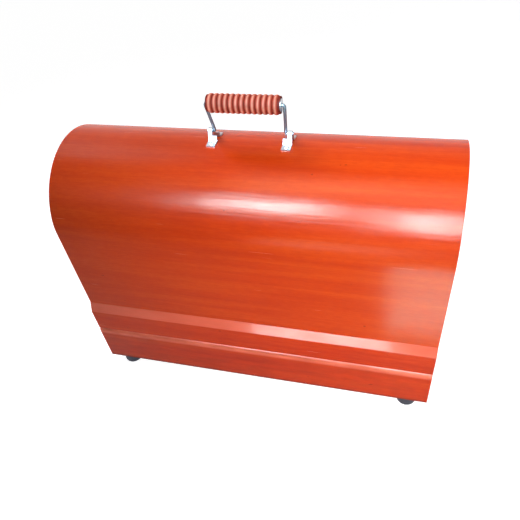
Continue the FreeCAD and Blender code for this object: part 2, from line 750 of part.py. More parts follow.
# Cover: bent shell, one sheet carried over the crown from wall to wall
body, sketch = body_with_sketch("cover_shell_body", "YZ_Plane", -HALF_LENGTH)
outer_right, outer_left = arch_edges(sketch, as_size(0))
inner_right, inner_left = arch_edges(sketch, s.shell_thick)
close_edge(sketch, inner_right, 1, outer_right, 1)
close_edge(sketch, outer_left, 2, inner_left, 2)
pad(body, sketch, s.case_length)
shell_body = body


# The solid inside the shell, used for the end boards and the handle's block
def core(name, start, length):
    body, sketch = body_with_sketch(name, "YZ_Plane", start)
    right, left = arch_edges(sketch, s.shell_thick)
    close_edge(sketch, left, 2, right, 1)
    pad(body, sketch, length)
    return body


def dome_point(y, lift):
    """A point on the crown arc's normal, raised by lift, with that normal."""
    radius = CROWN_RADIUS.number
    normal = Vector(0, y, math.sqrt(radius * radius - y * y)).normalize()
    return Vector(0, 0, CROWN_CENTRE.number) + normal * (radius + lift), normal


def strap_screw_shape(x, side, clear):
    foot, normal = dome_point(s.strap_screw_at.number * side, s.strap_thick.number)
    foot = foot + Vector(x, 0, 0)
    shank = Part.makeCylinder(s.strap_screw_radius.number + clear, s.strap_screw_length.number, foot, -normal)
    return foot, normal, shank


STRAP_X = [-(s.strap_inner.number + s.strap_width.number / 2), s.strap_inner.number + s.strap_width.number / 2]
pilots = []
for x in STRAP_X:
    for side in (-1, 1):
        pilots.append(strap_screw_shape(x, side, s.seat_clear.number)[2])
pilot_group = feature("strap_pilots", Part.makeCompound(pilots))
keep(cut("cover_shell_cut", shell_body, [pilot_group]), "cover_shell")

# Cover: left end board with the slotted plate let into its underside
left_core = core("cover_left_end_body", -HALF_LENGTH, s.end_thick)
left_mid = -PLATE_MID
plate_half = s.plate_length / 2
mortise_top = COVER_LOW + s.tongue_rise + s.tongue_headroom
left_tools = [
    block("receiver_seat", (left_mid - s.plate_width / 2, -plate_half, COVER_LOW),
          (left_mid + s.plate_width / 2, plate_half, COVER_LOW + s.plate_thick)),
    block("tongue_mortise",
          (left_mid - s.tongue_thick / 2 - s.loose_clear, -(s.tongue_half + s.loose_clear), COVER_LOW),
          (left_mid + s.tongue_thick / 2 + s.loose_clear, s.tongue_half + s.loose_clear, mortise_top)),
]
for shift in (-1, 1):
    left_tools.append(rod("receiver_pilot_%d" % (shift + 1), (left_mid, s.plate_screw_at * shift, COVER_LOW),
                          s.plate_screw_radius + s.seat_clear, s.plate_screw_length, "z"))
keep(cut("cover_left_end_cut", left_core, left_tools), "cover_left_end")

receiver = block("receiver_flat", (left_mid - s.plate_width / 2, -plate_half, COVER_LOW),
                 (left_mid + s.plate_width / 2, plate_half, COVER_LOW + s.plate_thick))
receiver_tools = [block("receiver_slot",
                        (left_mid - s.tongue_thick / 2 - s.loose_clear, -(s.tongue_half + s.loose_clear), COVER_LOW),
                        (left_mid + s.tongue_thick / 2 + s.loose_clear, s.tongue_half + s.loose_clear,
                         COVER_LOW + s.plate_thick))]
receiver_screws = []
for shift in (-1, 1):
    spot = (left_mid, s.plate_screw_at * shift, COVER_LOW)
    receiver_tools.append(flush_screw("receiver_hole_%d" % (shift + 1), spot, "z", s.plate_screw_head,
                                      s.plate_screw_radius, s.plate_screw_length, s.seat_clear))
    receiver_screws.append(flush_screw("receiver_screw_%d" % (shift + 1), spot, "z", s.plate_screw_head,
                                       s.plate_screw_radius, s.plate_screw_length - s.pilot_spare))
keep(cut("cover_receiver_cut", receiver, receiver_tools), "cover_receiver_plate")
keep(group("cover_receiver_screws_group", receiver_screws), "cover_receiver_screws")

# Cover: right end board, recessed on its inner face for the lock, with a keyhole to the outside
right_core = core("cover_right_end_body", COVER_INNER, s.end_thick)
KEY_Z = COVER_LOW + s.key_height
CASE_X = COVER_INNER + s.lock_depth
EAR_LOW = KEY_Z - s.lock_ear_height / 2
EAR_HIGH = KEY_Z + s.lock_ear_height / 2


def keyhole(name, x_low, x_high, grow):
    bow = rod(name + "_round", (x_low, 0, KEY_Z), s.key_radius + grow, x_high - x_low, "x")
    slot = block(name + "_slot", (x_low, -(s.key_slot_half + grow), KEY_Z - s.key_slot_drop - grow),
                 (x_high, s.key_slot_half + grow, KEY_Z))
    return join(name, [bow, slot])


right_tools = [
    block("lock_recess", (COVER_INNER, -s.lock_half, COVER_LOW), (CASE_X, s.lock_half, COVER_LOW + s.lock_height)),
    block("ear_recess", (COVER_INNER, -(s.lock_half + s.lock_ear), EAR_LOW),
          (COVER_INNER + s.lock_wall, s.lock_half + s.lock_ear, EAR_HIGH)),
    keyhole("keyhole_wood", CASE_X, HALF_LENGTH, s.key_liner_wall),
]
LOCK_SCREW_Y = s.lock_half + s.lock_ear / 2
for shift in (-1, 1):
    right_tools.append(rod("lock_pilot_%d" % (shift + 1), (COVER_INNER, LOCK_SCREW_Y * shift, KEY_Z),
                           s.lock_screw_radius + s.seat_clear, s.lock_screw_length, "x"))
keep(cut("cover_right_end_cut", right_core, right_tools), "cover_right_end")

keep(cut("keyhole_liner_cut", keyhole("liner_outer", CASE_X, HALF_LENGTH, s.key_liner_wall),
         [keyhole("liner_inner", CASE_X, HALF_LENGTH, as_size(0))]), "keyhole_liner")

# Lock: flat steel case open below for the hook, with a fixed pin for the key and a sliding bolt
hook_mid = PLATE_MID
wall = s.lock_wall
case_outer = block("case_outer", (COVER_INNER, -s.lock_half, COVER_LOW),
                   (CASE_X, s.lock_half, COVER_LOW + s.lock_height))
case_ears = block("case_ears", (COVER_INNER, -(s.lock_half + s.lock_ear), EAR_LOW),
                  (COVER_INNER + wall, s.lock_half + s.lock_ear, EAR_HIGH))
case_tools = [
    block("case_cavity", (COVER_INNER + wall, wall - s.lock_half, COVER_LOW + wall),
          (CASE_X - wall, s.lock_half - wall, COVER_LOW + s.lock_height - wall)),
    block("case_slot", (hook_mid - s.tongue_thick / 2 - s.loose_clear, -(s.hook_left + s.loose_clear), COVER_LOW),
          (hook_mid + s.tongue_thick / 2 + s.loose_clear, s.hook_right + s.loose_clear, COVER_LOW + wall)),
    keyhole("case_keyhole", CASE_X - wall, CASE_X, as_size(0)),
]
for shift in (-1, 1):
    case_tools.append(rod("case_ear_hole_%d" % (shift + 1), (COVER_INNER, LOCK_SCREW_Y * shift, KEY_Z),
                          s.lock_screw_radius + s.seat_clear, wall, "x"))
case_box = cut("case_box", join("case_blank", [case_outer, case_ears]), case_tools)
key_pin = rod("case_key_pin", (COVER_INNER + wall / 2, 0, KEY_Z), s.key_pin_radius,
              s.lock_depth - wall / 2, "x")
keep(join("lock_case_joined", [case_box, key_pin]), "lock_case")

lock_screws = []
for shift in (-1, 1):
    spot_y = LOCK_SCREW_Y * shift
    shank = rod("lock_shank_%d" % (shift + 1), (COVER_INNER, spot_y, KEY_Z), s.lock_screw_radius,
                s.lock_screw_length - s.pilot_spare, "x")
    head = taper("lock_head_%d" % (shift + 1), (COVER_INNER, spot_y, KEY_Z), s.lock_screw_head,
                 s.lock_screw_radius, s.lock_screw_radius, "-x")
    lock_screws.append(join("lock_screw_%d" % (shift + 1), [shank, head]))
keep(group("lock_screws_group", lock_screws), "lock_screws")

nose_end = -(s.hook_left + s.bolt_nose_gap)
tail_end = nose_end - s.bolt_nose_length
bolt_x_low = COVER_INNER + wall + s.bolt_gap
bolt_x_high = CASE_X - wall - s.bolt_gap
nose = block("bolt_nose", (bolt_x_low, tail_end - s.bolt_tail / 2, COVER_LOW + s.hook_notch_low + s.bolt_gap),
             (bolt_x_high, nose_end, COVER_LOW + s.hook_notch_low + s.hook_notch_tall - s.bolt_gap))
tail = block("bolt_tail_bar", (bolt_x_low, tail_end - s.bolt_tail, COVER_LOW + wall + s.bolt_gap),
             (bolt_x_high, tail_end, COVER_LOW + s.lock_height - wall - s.bolt_gap))
keep(join("lock_bolt_joined", [nose, tail]), "lock_bolt")


# Cover: band nailed along the front and the back, with a bevelled top and a flat face down to the base
def moulding(name, side):
    body, sketch = body_with_sketch(name + "_body", "YZ_Plane", -HALF_LENGTH)
    face = HALF_SHELL * side
    front = (HALF_SHELL + s.moulding_proud) * side
    top = (HALF_SHELL + s.moulding_edge) * side
    polygon(sketch, [
        (face, COVER_LOW),
        (front, COVER_LOW),
        (front, COVER_LOW + s.moulding_face),
        (top, COVER_LOW + s.moulding_height),
        (face, COVER_LOW + s.moulding_height),
    ])
    solid = pad(body, sketch, s.case_length)

    def outer(edge):
        box = edge.BoundBox
        return box.XLength > HALF_LENGTH.number and abs(abs(box.YMax) - abs(front.number)) < 0.01

    round_edges(body, solid, edges_where(solid, outer), s.moulding_round)
    return keep(body, name)


moulding("cover_front_moulding", -1)
moulding("cover_back_moulding", 1)

# Cover: inner battens that stiffen the shell's lower edges and rest on the rails
for side, side_name in ((-1, "front"), (1, "back")):
    y_far = (HALF_SHELL - s.shell_thick) * side
    y_near = (HALF_SHELL - s.shell_thick - s.batten_thick) * side
    y_low, y_high = (y_near, y_far) if side > 0 else (y_far, y_near)
    keep(block("batten_" + side_name, (-COVER_INNER, y_low, COVER_LOW),
               (COVER_INNER, y_high, COVER_LOW + s.batten_height)), "cover_%s_batten" % side_name)

# Cover: hardwood block under the crown, shaped to the shell, that takes the strap screws
half_block = s.grip_block_length / 2
crown_inner = CROWN_TOP - s.shell_thick
block_core = core("grip_block_core", -half_block, s.grip_block_length)
block_box = block("grip_block_box", (-half_block, -s.grip_block_width / 2, crown_inner - s.grip_block_thick),
                  (half_block, s.grip_block_width / 2, crown_inner + s.cutter_spare))
block_raw = common("grip_block_raw", block_box, block_core)
block_pilots = feature("block_pilots", Part.makeCompound(pilots))
keep(cut("grip_block_cut", block_raw, [block_pilots]), "cover_handle_block")

# Handle straps: sheet strip bent over the wire and down to two feet screwed to the dome
thick = s.strap_thick.number
loop_radius = s.wire_radius.number + s.strap_clear.number + thick / 2
pivot_point = Vector(0, 0, PIVOT.number)


def strap_shape(x_low):
    knee, normal = dome_point(-s.strap_knee.number, thick / 2)
    foot, normal = dome_point(-s.strap_screw_at.number, thick / 2)
    along = Vector(0, normal.z, -normal.y)
    knee = foot + along * ((knee.y - foot.y) / along.y)
    toe = foot - along * ((s.strap_foot.number - s.strap_screw_at.number) / along.y)
    rise = PIVOT.number - knee.z
    run = -knee.y
    lean = math.atan2(run, rise) - math.asin(loop_radius / math.hypot(run, rise))
    apex = Vector(0, 0, PIVOT.number + loop_radius / math.sin(lean))
    mirror = [Vector(0, -p.y, p.z) for p in (knee, toe)]
    points = [toe, knee, apex] + mirror
    spine = bent_path(points, [s.strap_knee_bend.number, loop_radius, s.strap_knee_bend.number])
    spine.translate(Vector(x_low, 0, 0))
    toe = toe + Vector(x_low, 0, 0)
    across = Vector(s.strap_width.number, 0, 0)
    corners = [toe - normal * (thick / 2), toe + normal * (thick / 2)]
    outline = Part.makePolygon([corners[0], corners[1], corners[1] + across, corners[0] + across, corners[0]])
    return spine.makePipeShell([outline], True, False)


def slot_shape(leg_x, inner_x):
    """The part of the loop cut away so that the wire's leg can pass and swing."""
    outer_x = leg_x + math.copysign(s.strap_slot_side.number, leg_x)
    low, high = sorted((inner_x - math.copysign(s.cutter_spare.number, leg_x), outer_x))
    deep = s.strap_foot.number
    floor = PIVOT.number - s.strap_slot_drop.number
    return Part.makeBox(high - low, 2 * deep, PIVOT.number, Vector(low, -deep, floor))


strap_screws = []
for index, mark in enumerate(("left", "right")):
    way = (-1, 1)[index]
    inner_x = s.strap_inner.number * way
    x_low = min(inner_x, inner_x + s.strap_width.number * way)
    shape = strap_shape(x_low).cut(slot_shape(s.pivot_half.number * way, inner_x))
    for side in (-1, 1):
        foot, normal, shank = strap_screw_shape(STRAP_X[index], side, s.seat_clear.number)
        shape = shape.cut(shank)
        foot, normal, shank = strap_screw_shape(STRAP_X[index], side, 0)
        head_r = s.strap_screw_head.number
        dome_h = s.strap_screw_dome.number
        ball_r = (head_r * head_r + dome_h * dome_h) / (2 * dome_h)
        ball = Part.makeSphere(ball_r, foot + normal * (dome_h - ball_r))
        head = Part.makeCylinder(head_r, dome_h, foot, normal).common(ball)
        strap_screws.append(shank.fuse(head).removeSplitter())
    keep(feature("handle_strap_" + mark, shape), "handle_strap_" + mark)
keep(feature("strap_screws_all", Part.makeCompound(strap_screws)), "handle_strap_screws")

# Handle: steel wire bail, its ends turned outwards through the straps' loops
TILT = FreeCAD.Placement(pivot_point, FreeCAD.Rotation(Vector(1, 0, 0), s.bail_tilt.number))
reach = s.bail_reach.number
low_x = s.pivot_half.number
high_x = s.bail_half.number
end_x = s.bail_end.number
bail_points = [Vector(-end_x, 0, 0), Vector(-low_x, 0, 0), Vector(-high_x, 0, reach),
               Vector(high_x, 0, reach), Vector(low_x, 0, 0), Vector(end_x, 0, 0)]
low_bend = s.bail_low_bend.number
high_bend = s.bail_high_bend.number
bail_path = bent_path(bail_points, [low_bend, high_bend, high_bend, low_bend])
ring = Part.Wire([Part.makeCircle(s.wire_radius.number, bail_points[0], Vector(1, 0, 0))])
bail = feature("handle_bail_wire", bail_path.makePipeShell([ring], True, False))
bail.Placement = TILT
keep(bail, "handle_bail")

# Handle: turned wooden grip with rounded ribs, loose on the wire, and its two end washers
body, sketch = body_with_sketch("handle_grip_body", "XZ_Plane", 0)
half_grip = s.grip_length / 2
groove_floor = s.grip_radius - s.grip_core_drop
bore = s.wire_radius + s.run_clear
polygon(sketch, [
    (-half_grip, bore),
    (half_grip, bore),
    (half_grip, groove_floor),
    (-half_grip, groove_floor),
])
revolve(body, sketch, "H_Axis")
doc.recompute()
rib_sketch = body.newObject("Sketcher::SketchObject", "handle_grip_rib_sketch")
plane = [f for f in body.Origin.OriginFeatures if f.Role == "XZ_Plane"][0]
rib_sketch.AttachmentSupport = [(plane, "")]
rib_sketch.MapMode = "FlatFace"
rib_start = -(s.grip_pitch * (s.grip_ribs - 1)) / 2
rib_low = s.grip_radius - s.grip_rib_radius
half_rib = s.grip_pitch / 2
shoulder = rib_low + root(s.grip_rib_radius * s.grip_rib_radius - half_rib * half_rib)
centre = Vector(rib_start.number, rib_low.number, 0)
swing = math.asin(half_rib.number / s.grip_rib_radius.number)
rib_arc = rib_sketch.addGeometry(Part.ArcOfCircle(Part.Circle(centre, Vector(0, 0, 1), s.grip_rib_radius.number),
                                                  math.pi / 2 - swing, math.pi / 2 + swing), False)
corner_points = [(rib_start - half_rib, shoulder), (rib_start - half_rib, rib_low),
                 (rib_start + half_rib, rib_low), (rib_start + half_rib, shoulder)]
lines = []
for first, second in zip(corner_points, corner_points[1:]):
    lines.append(rib_sketch.addGeometry(Part.LineSegment(Vector(first[0].number, first[1].number, 0),
                                                         Vector(second[0].number, second[1].number, 0)), False))
rib_sketch.addConstraint(Sketcher.Constraint("Coincident", rib_arc, 2, lines[0], 1))
rib_sketch.addConstraint(Sketcher.Constraint("Coincident", lines[0], 2, lines[1], 1))
rib_sketch.addConstraint(Sketcher.Constraint("Coincident", lines[1], 2, lines[2], 1))
rib_sketch.addConstraint(Sketcher.Constraint("Coincident", lines[2], 2, rib_arc, 1))
for edge, (x, y) in zip(lines, corner_points):
    fix_point(rib_sketch, edge, 1, x, y)
fix_point(rib_sketch, lines[2], 2, *corner_points[3])
at = rib_sketch.addConstraint(Sketcher.Constraint("Radius", rib_arc, s.grip_rib_radius.number))
rib_sketch.setExpression("Constraints[%d]" % at, s.grip_rib_radius.text)
rib = body.newObject("PartDesign::Revolution", "handle_grip_rib")
rib.Profile = rib_sketch
rib.ReferenceAxis = (rib_sketch, ["H_Axis"])
rib.Angle = 360
doc.recompute()
pattern = body.newObject("PartDesign::LinearPattern", "handle_grip_ribs")
pattern.Originals = [rib]
pattern.Direction = (rib_sketch, ["H_Axis"])
bind(pattern, "Length", s.grip_pitch * (s.grip_ribs - 1))
pattern.Occurrences = int(s.grip_ribs.number)
body.Tip = pattern
GRIP_AT = TILT.multVec(Vector(0, 0, reach))
body.Placement = FreeCAD.Placement(GRIP_AT, FreeCAD.Rotation(Vector(1, 0, 0), s.bail_tilt.number))
keep(body, "handle_grip")

washers = []
for way in (-1, 1):
    start = Vector(half_grip.number * way, 0, reach)
    ring = Part.makeCylinder(s.ferrule_radius.number, s.ferrule_thick.number, start, Vector(way, 0, 0))
    hole = Part.makeCylinder(bore.number, s.ferrule_thick.number, start, Vector(way, 0, 0))
    washers.append(ring.cut(hole))
washer_pair = feature("grip_washers_pair", Part.makeCompound(washers))
washer_pair.Placement = TILT
keep(washer_pair, "handle_grip_washers")

doc.recompute()

# Every object must be sound before anything is written
for obj in doc.Objects:
    if "Invalid" in obj.State or "Error" in obj.State:
        raise RuntimeError("failed object: %s" % obj.Label)
for obj in NODES:
    if obj.Shape.isNull() or not obj.Shape.isValid() or not obj.Shape.Solids:
        raise RuntimeError("bad shape: %s" % obj.Label)

os.makedirs("parts", exist_ok=True)
for obj in NODES:
    obj.Shape.exportStep("parts/%s.step" % obj.Label)
    box = obj.Shape.BoundBox
    print("%-24s solids %d  volume %10.1f  x %7.1f %7.1f  y %7.1f %7.1f  z %7.1f %7.1f" % (
        obj.Label, len(obj.Shape.Solids), obj.Shape.Volume, box.XMin, box.XMax, box.YMin, box.YMax,
        box.ZMin, box.ZMax))
print(len(NODES), "pieces")
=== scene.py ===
import math
import random

import bmesh
import bpy
from mathutils import Matrix, Vector


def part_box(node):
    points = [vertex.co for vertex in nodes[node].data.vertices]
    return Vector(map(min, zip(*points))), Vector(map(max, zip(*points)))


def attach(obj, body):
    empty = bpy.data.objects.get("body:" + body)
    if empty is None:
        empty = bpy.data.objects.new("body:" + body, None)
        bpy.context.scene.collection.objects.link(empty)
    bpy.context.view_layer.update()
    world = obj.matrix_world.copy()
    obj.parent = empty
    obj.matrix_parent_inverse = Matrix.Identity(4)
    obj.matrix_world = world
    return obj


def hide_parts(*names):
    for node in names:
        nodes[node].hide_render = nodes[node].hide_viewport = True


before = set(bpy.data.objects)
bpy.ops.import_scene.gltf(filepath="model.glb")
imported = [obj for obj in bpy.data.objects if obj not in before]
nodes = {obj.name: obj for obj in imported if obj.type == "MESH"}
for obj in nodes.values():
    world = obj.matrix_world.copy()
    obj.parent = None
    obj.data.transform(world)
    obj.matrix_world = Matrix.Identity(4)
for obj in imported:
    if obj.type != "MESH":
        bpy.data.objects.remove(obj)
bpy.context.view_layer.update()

scene = bpy.context.scene


# Viewpoint
# The case was photographed from above its right front corner, with the picture slightly
# turned. Lens and place were worked out from the outlines, for a 520 x 520 picture.
FOCAL_PX, PICTURE_PX, SENSOR_MM = 505.58, 520, 36
CENTRE_PX = (277.52, 303.09)
EYE = Vector((0.19391, -0.54329, 0.6569))
YAW, PITCH, ROLL = -0.32767, 0.79267, -0.11777
ahead = Vector((math.sin(YAW) * math.cos(PITCH), math.cos(YAW) * math.cos(PITCH), -math.sin(PITCH)))
level_right = Vector((math.cos(YAW), -math.sin(YAW), 0))
level_up = level_right.cross(ahead)
right = level_right * math.cos(ROLL) + level_up * math.sin(ROLL)
up = -level_right * math.sin(ROLL) + level_up * math.cos(ROLL)
camera_data = bpy.data.cameras.new("photo_camera")
camera_data.sensor_width = SENSOR_MM
camera_data.lens = SENSOR_MM * FOCAL_PX / PICTURE_PX
camera_data.shift_x = (PICTURE_PX / 2 - CENTRE_PX[0]) / PICTURE_PX
camera_data.shift_y = (CENTRE_PX[1] - PICTURE_PX / 2) / PICTURE_PX
camera_data.clip_start = 0.01
camera = bpy.data.objects.new("photo_camera", camera_data)
scene.collection.objects.link(camera)
camera.matrix_world = Matrix((
    (right.x, up.x, -ahead.x, EYE.x),
    (right.y, up.y, -ahead.y, EYE.y),
    (right.z, up.z, -ahead.z, EYE.z),
    (0, 0, 0, 1)))
scene.camera = camera
scene.view_settings.view_transform = "Standard"


# White floor and studio lamps
# A white sweep in a white room. Five soft lamps light the case at a plain level and leave
# the gloss alone; bright panes and cards seen only in the gloss draw the glare on the varnish.
def wire_up(material):
    """Clears a material and gives it one surface shader."""
    material.use_nodes = True
    tree = material.node_tree
    tree.nodes.clear()
    output = tree.nodes.new("ShaderNodeOutputMaterial")
    shader = tree.nodes.new("ShaderNodeBsdfPrincipled")
    tree.links.new(shader.outputs["BSDF"], output.inputs["Surface"])
    return tree, shader


def reckon(tree, operation, *values):
    """One step of arithmetic on sockets and plain numbers."""
    step = tree.nodes.new("ShaderNodeMath")
    step.operation = operation
    for socket, value in zip(step.inputs, values):
        if isinstance(value, (int, float)):
            socket.default_value = value
        else:
            tree.links.new(value, socket)
    return step.outputs["Value"]


def seen_directly(tree):
    """1 for what the eye sees straight on, in a polished surface or through glass, else 0."""
    path = tree.nodes.new("ShaderNodeLightPath")
    either = reckon(tree, "MAXIMUM", path.outputs["Is Camera Ray"], path.outputs["Is Glossy Ray"])
    return reckon(tree, "MAXIMUM", either, path.outputs["Is Transmission Ray"])


FLOOR_REACH, FLOOR_GREY, FLOOR_LIFT = 6, 0.5, 0.93
floor_mesh = bpy.data.meshes.new("floor")
floor_mesh.from_pydata([(x * FLOOR_REACH, y * FLOOR_REACH, 0) for x, y in ((-1, -1), (1, -1), (1, 1), (-1, 1))],
                       [], [(0, 1, 2, 3)])
floor = bpy.data.objects.new("floor", floor_mesh)
scene.collection.objects.link(floor)
floor_material = bpy.data.materials.new("white_sweep")
floor_tree, floor_shader = wire_up(floor_material)
floor_shader.inputs["Base Color"].default_value = (FLOOR_GREY, FLOOR_GREY, FLOOR_GREY, 1)
floor_shader.inputs["Roughness"].default_value = 1.0
floor_shader.inputs["Specular IOR Level"].default_value = 0.0
floor_shader.inputs["Emission Color"].default_value = (1, 1, 1, 1)
floor_tree.links.new(reckon(floor_tree, "MULTIPLY", seen_directly(floor_tree), FLOOR_LIFT),
                     floor_shader.inputs["Emission Strength"])
floor_mesh.materials.append(floor_material)

ROOM_LIGHT = 0.13
world = bpy.data.worlds.new("white_room")
scene.world = world
world.use_nodes = True
sky = world.node_tree
background = sky.nodes["Background"]
background.inputs["Color"].default_value = (1, 1, 1, 1)
strength = sky.nodes.new("ShaderNodeMapRange")
strength.inputs["To Min"].default_value = ROOM_LIGHT
strength.inputs["To Max"].default_value = 1.0
sky.links.new(seen_directly(sky), strength.inputs["Value"])
sky.links.new(strength.outputs["Result"], background.inputs["Strength"])


def lamp_panel(name, place, look_at, size, watts, colour, beam=180, gloss_only=False):
    """A lamp that lights the case, or a bright pane that only the varnish and the metal mirror."""
    lamp = bpy.data.lights.new(name, "AREA")
    lamp.shape = "RECTANGLE"
    lamp.size, lamp.size_y = size
    lamp.energy = watts
    lamp.color = colour
    lamp.spread = math.radians(beam)
    panel = bpy.data.objects.new(name, lamp)
    scene.collection.objects.link(panel)
    panel.location = place
    panel.rotation_euler = (Vector(look_at) - Vector(place)).to_track_quat("-Z", "Y").to_euler()
    panel.visible_camera = False
    panel.visible_diffuse = not gloss_only
    panel.visible_glossy = gloss_only


# name, place, point it faces, width and height in metres, watts, colour, beam in degrees
for lamp_values in (
        ("front_light_left", (-0.32, -1.09, 1.22), (0.22, -0.08, 0.3), (0.4, 0.5), 0.9, (1.0, 0.95, 1.0), 40),
        ("front_light_right", (0.28, -1.18, 1.18), (0.4, -0.08, 0.3), (0.4, 0.6), 0.64, (1.0, 0.96, 0.97), 44),
        ("low_light", (0.22, -1.0, 0.2), (0.16, 0, 0.12), (0.6, 0.2), 0.7, (1.0, 0.96, 0.97), 80),
        ("side_light", (1.1, 0.1, 0.9), (0.26, 0, 0.2), (0.5, 0.5), 0.8, (1.0, 0.97, 0.93), 60),
        ("cool_back_light", (-1.3, 0.6, 1.9), (-0.15, 0, 0.3), (0.9, 0.9), 4.6, (0.92, 0.87, 1.0), 60)):
    lamp_panel(*lamp_values)

# two windows give the long glare on the dome, the one above the sheen on the crown, and the
# strip the gleam on the bevels
for pane_values in (
        ("window_left", (-0.34, -1.09, 1.24), (0.1, -0.08, 0.3), (0.37, 0.38), 84, (0.74, 1.0, 1.32)),
        ("window_right", (0.28, -1.18, 1.1), (0.3, -0.08, 0.3), (0.2, 0.62), 66, (0.74, 1.0, 1.32)),
        ("window_above", (0.1, -0.5, 1.9), (0.1, -0.05, 0.35), (1.3, 0.7), 34, (0.6, 1.0, 1.0)),
        ("strip_for_bevels", (-0.03, -1.05, 0.06), (0.0, -0.1, 0.13), (0.44, 0.12), 2.3, (0.95, 0.97, 1.0))):
    lamp_panel(*pane_values, gloss_only=True)

# three cards inside one another on the floor, so that their image in the wall fades outwards
CARD_PLACE, CARD_FACES, CARD_COLOUR = (0.32, -0.255, 0.004), (0.32, -0.16, 0.3), (0.35, 1.0, 1.05)
for card, (side, watts) in enumerate(((0.12, 0.8), (0.2, 2.3), (0.28, 4.6)), start=1):
    lamp_panel(f"floor_card_{card}", CARD_PLACE, CARD_FACES, (side, side), watts, CARD_COLOUR, gloss_only=True)


# Bent shell of the cover
# One sheet of thin plywood bent over the crown from front to back, stained red-brown and
# brushed with several coats of gloss varnish; the brush and the grain run along the case.
def mapped(tree, scale, shift=(0, 0, 0)):
    """Places on the piece itself, stretched by a scale and moved by a shift."""
    place = tree.nodes.new("ShaderNodeTexCoord")
    mapping = tree.nodes.new("ShaderNodeMapping")
    mapping.inputs["Scale"].default_value = scale
    mapping.inputs["Location"].default_value = shift
    tree.links.new(place.outputs["Object"], mapping.inputs["Vector"])
    return mapping.outputs["Vector"]


def along_grain(grain, lengthwise, crosswise):
    """A scale that draws a pattern out along the wood's grain."""
    return tuple(lengthwise if axis == grain else crosswise for axis in "xyz")


def noise(tree, vector, scale, detail=4, rough=0.55, distortion=0):
    """A cloudy pattern between 0 and 1; scale is how many clouds fit in a metre."""
    texture = tree.nodes.new("ShaderNodeTexNoise")
    texture.inputs["Scale"].default_value = scale
    texture.inputs["Detail"].default_value = detail
    texture.inputs["Roughness"].default_value = rough
    texture.inputs["Distortion"].default_value = distortion
    tree.links.new(vector, texture.inputs["Vector"])
    return texture.outputs["Fac"]


def ramp(tree, factor, stops):
    """Colours that follow one another as a factor climbs."""
    mixer = tree.nodes.new("ShaderNodeValToRGB")
    while len(mixer.color_ramp.elements) < len(stops):
        mixer.color_ramp.elements.new(0.5)
    for element, (at, colour) in zip(mixer.color_ramp.elements, stops):
        element.position = at
        element.color = (*colour, 1)
    tree.links.new(factor, mixer.inputs["Fac"])
    return mixer.outputs["Color"]


def blend(tree, factor, first, second):
    """From the first colour to the second as the factor goes from 0 to 1."""
    mixer = tree.nodes.new("ShaderNodeMix")
    mixer.data_type = "RGBA"
    for socket, value in ((mixer.inputs[0], factor), (mixer.inputs[6], first), (mixer.inputs[7], second)):
        if isinstance(value, tuple):
            socket.default_value = (*value, 1)
        else:
            tree.links.new(value, socket)
    return mixer.outputs[2]


def spread(tree, factor, low, high, to_low, to_high):
    """Spreads the part of a factor between low and high over another range."""
    ranger = tree.nodes.new("ShaderNodeMapRange")
    for name, value in (("From Min", low), ("From Max", high), ("To Min", to_low), ("To Max", to_high)):
        ranger.inputs[name].default_value = value
    tree.links.new(factor, ranger.inputs["Value"])
    return ranger.outputs["Result"]


def tint(colour, share, added=0.0):
    """The same colour, darker or lighter."""
    return tuple(share * v + added for v in colour)


def bump(tree, shader, height, strength, distance):
    """Lets a pattern raise and lower the surface by the distance, in metres."""
    bumper = tree.nodes.new("ShaderNodeBump")
    bumper.inputs["Strength"].default_value = strength
    bumper.inputs["Distance"].default_value = distance
    tree.links.new(height, bumper.inputs["Height"])
    tree.links.new(bumper.outputs["Normal"], shader.inputs["Normal"])


SCRATCH_PINK = (0.92, 0.3, 0.18)
VARNISH_TINT = (1.0, 0.8, 0.62, 1)


def stained_wood(tree, grain, dark, mid, light, shift):
    """The wood's colour: long streaks, cloudy patches, dark pores and small flecks."""
    streaks = noise(tree, mapped(tree, along_grain(grain, 1, 22), (shift, shift * 0.7, shift * 1.3)), 3.2,
                    detail=7, rough=0.6, distortion=0.25)
    pores = noise(tree, mapped(tree, along_grain(grain, 2.2, 48.4)), 20.0, detail=3, rough=0.7)
    clouds = noise(tree, mapped(tree, (1, 1, 1), (shift, 0, 0)), 4.5, detail=3)
    flecks = noise(tree, mapped(tree, along_grain(grain, 1, 5.5), (5, shift, 2)), 85.0, detail=4, rough=0.65)
    colour = ramp(tree, streaks, [(0.3, dark), (0.5, mid), (0.72, light)])
    colour = blend(tree, spread(tree, clouds, 0.35, 0.7, 0.0, 0.45), colour, light)
    colour = blend(tree, spread(tree, pores, 0.6, 0.78, 0.0, 0.3), colour, dark)
    colour = blend(tree, spread(tree, flecks, 0.46, 0.66, 0.0, 0.3), colour, dark)
    return blend(tree, spread(tree, flecks, 0.5, 0.32, 0.0, 0.25), colour, light)


def knocked_about(tree, colour, grain, dark, light, shift):
    """Small dark chips, rubbed-through spots and long fine scratches over the wood's colour."""
    chips = noise(tree, mapped(tree, (1, 1.8, 1.8), (shift + 3, 1, 2)), 75.0, detail=2, rough=0.4)
    colour = blend(tree, spread(tree, chips, 0.775, 0.8, 0.0, 0.6), colour, tint(dark, 0.4))
    rubs = noise(tree, mapped(tree, along_grain(grain, 0.5, 11), (shift, 7, 5)), 9.0, detail=5, rough=0.7)
    colour = blend(tree, spread(tree, rubs, 0.7, 0.76, 0.0, 0.3), colour, tint(light, 1.25, 0.05))
    scratches = noise(tree, mapped(tree, along_grain(grain, 2.2, 99), (shift, 8, 3)), 6.0, detail=1)
    return blend(tree, spread(tree, scratches, 0.785, 0.805, 0.0, 0.55), colour, SCRATCH_PINK)


